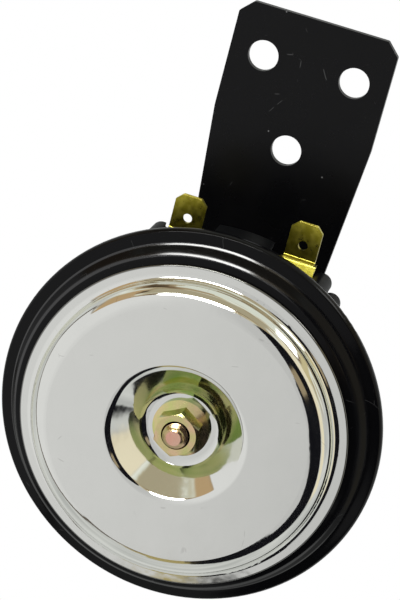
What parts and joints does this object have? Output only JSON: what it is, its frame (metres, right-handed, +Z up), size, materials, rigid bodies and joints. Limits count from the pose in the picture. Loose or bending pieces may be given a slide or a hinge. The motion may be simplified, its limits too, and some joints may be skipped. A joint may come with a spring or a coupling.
{
  "type": "car horn",
  "caption": "Electromagnetic disc horn with a chromed tone disc, blade terminals and a flat steel mounting bracket.",
  "frame": {"origin": "centre of the bracket's lower single hole, on the bracket face that seats on the vehicle", "axes": "+Z up along the bracket, away from the horn; +Y out of the seating face into the vehicle; the tone disc faces -Y"},
  "size_m": [0.076, 0.0559, 0.113],
  "materials": {
    "zinc_plate": "clear zinc plate",
    "bare_steel": "bare turned steel",
    "copper_zinc": "zinc plated thread, end face rubbed to a copper tone",
    "fibre": "brown laminated insulation",
    "bobbin_plastic": "natural moulded nylon",
    "copper_wire": "enamelled copper wire",
    "spring_steel": "rolled spring steel",
    "contact_metal": "grey contact metal",
    "black_gloss": "gloss black enamel",
    "gasket": "black fibre gasket",
    "black_plastic": "moulded black plastic",
    "brass": "bare brass strip",
    "chrome_plate": "bright chrome plate",
    "yellow_zinc": "yellow passivated zinc plate"
  },
  "bodies": {
    "housing_body": {"adjusting_lock_nut": "zinc_plate", "adjusting_screw": "zinc_plate", "bracket_lock_washer": "zinc_plate", "bracket_nut": "zinc_plate", "breaker_base_insulator": "fibre", "breaker_clamp": "zinc_plate", "breaker_front_insulator": "fibre", "breaker_middle_insulator": "fibre", "breaker_rivet_left": "zinc_plate", "breaker_rivet_right": "zinc_plate", "coil_bobbin": "bobbin_plastic", "coil_winding": "copper_wire", "core_nut": "zinc_plate", "core_stud": "bare_steel", "diaphragm": "spring_steel", "fixed_contact_arm": "zinc_plate", "fixed_contact_point": "contact_metal", "front_cover": "black_gloss", "housing": "black_gloss", "mounting_bracket": "black_gloss", "moving_contact_leaf": "spring_steel", "moving_contact_point": "contact_metal", "plate_rivet_1": "zinc_plate", "plate_rivet_2": "zinc_plate", "plate_rivet_3": "zinc_plate", "plate_rivet_4": "zinc_plate", "pole_plate": "zinc_plate", "rim_gasket": "gasket", "terminal_block": "black_plastic", "terminal_left": "brass", "terminal_right": "brass"},
    "armature_body": {"armature": "bare_steel", "armature_stud": "copper_zinc", "hub_spacer": "zinc_plate", "hub_washer": "zinc_plate", "tone_disc": "chrome_plate", "tone_disc_nut": "yellow_zinc"}
  },
  "joints": [
    {"name": "armature_stroke", "type": "slide", "parent": "housing_body", "child": "armature_body", "axis": [0, 1, 0], "range_m": [-0.0002, 0.0004], "stiffness_N_per_m": 5000, "deforming": ["diaphragm", "moving_contact_leaf"]}
  ]
}
